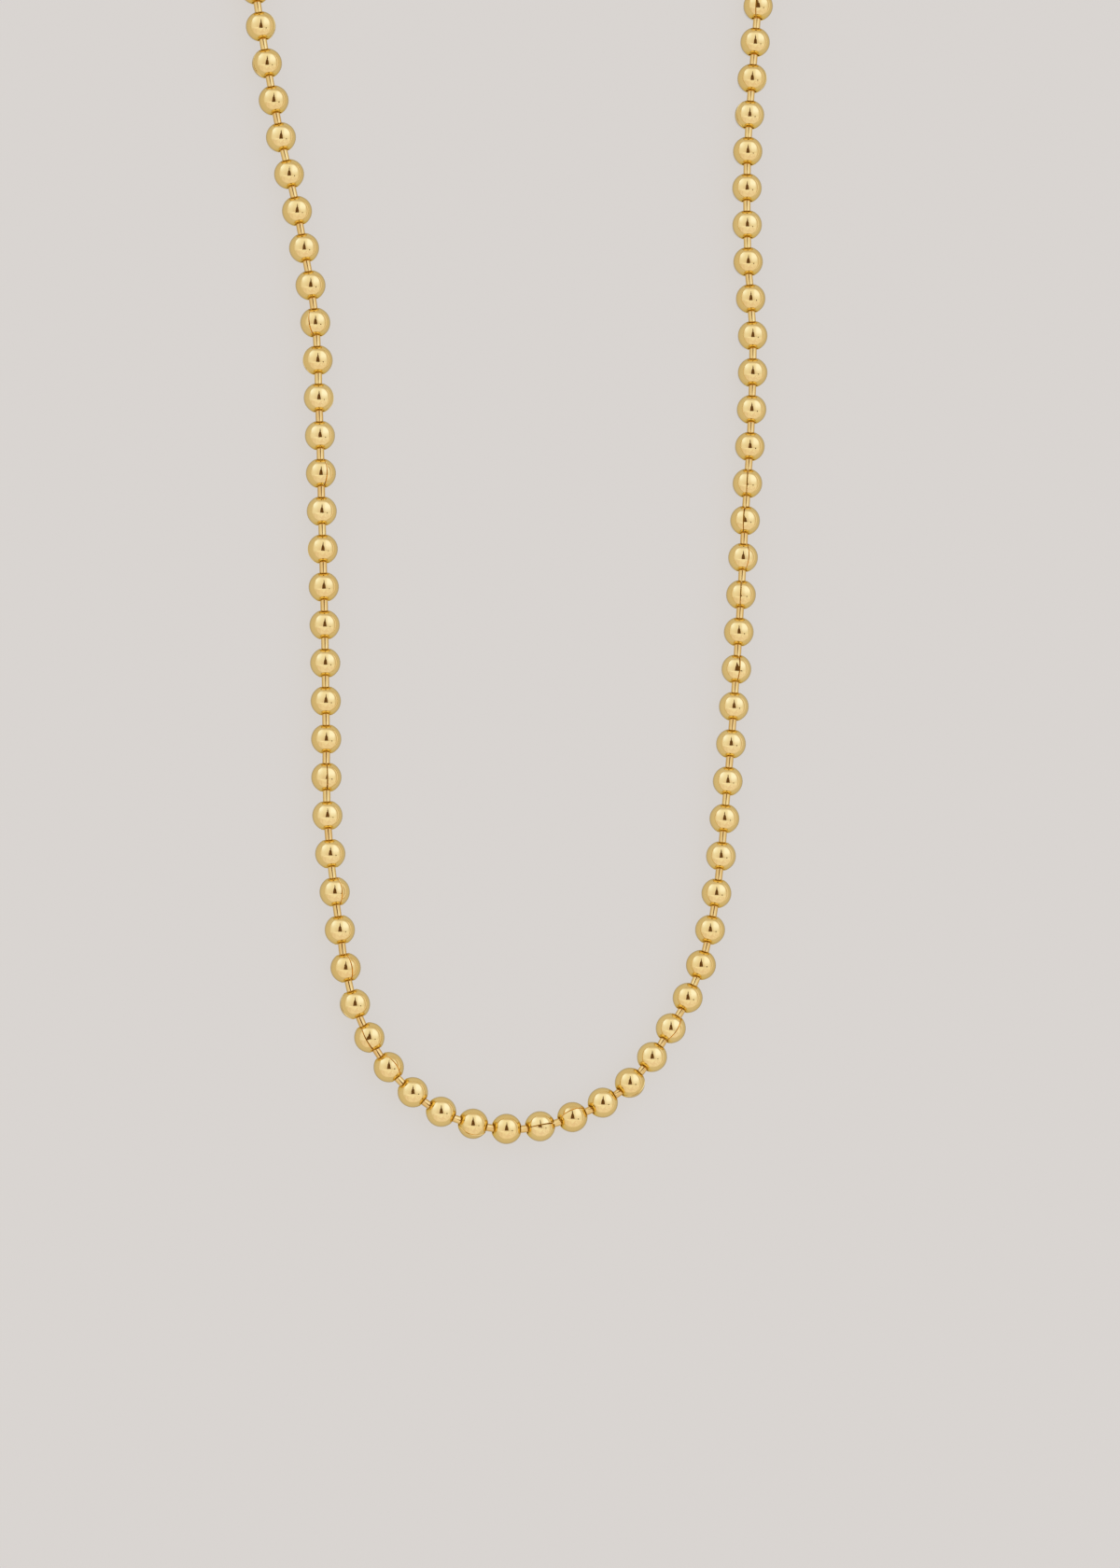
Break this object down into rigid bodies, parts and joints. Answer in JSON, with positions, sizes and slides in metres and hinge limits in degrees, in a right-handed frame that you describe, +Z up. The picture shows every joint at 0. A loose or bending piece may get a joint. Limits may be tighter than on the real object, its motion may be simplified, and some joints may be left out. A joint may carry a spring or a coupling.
{
  "type": "ball chain necklace",
  "caption": "Closed loop of hollow metal balls joined by short headed rods, with a slotted sleeve connector, lying flat.",
  "frame": {"origin": "middle of the loop's bounding box, on the surface that the loop lies on", "axes": "+Z up off the surface, +Y along the loop from its front bend towards the connector, +X across the loop to the right"},
  "size_m": [0.0588, 0.1814, 0.0037],
  "materials": {
    "balls": "polished gold plate",
    "link_rods": "polished gold plate",
    "connector": "polished gold plate"
  },
  "bodies": {
    "root": {"balls": "balls", "link_rods": "link_rods", "connector": "connector"}
  },
  "joints": []
}
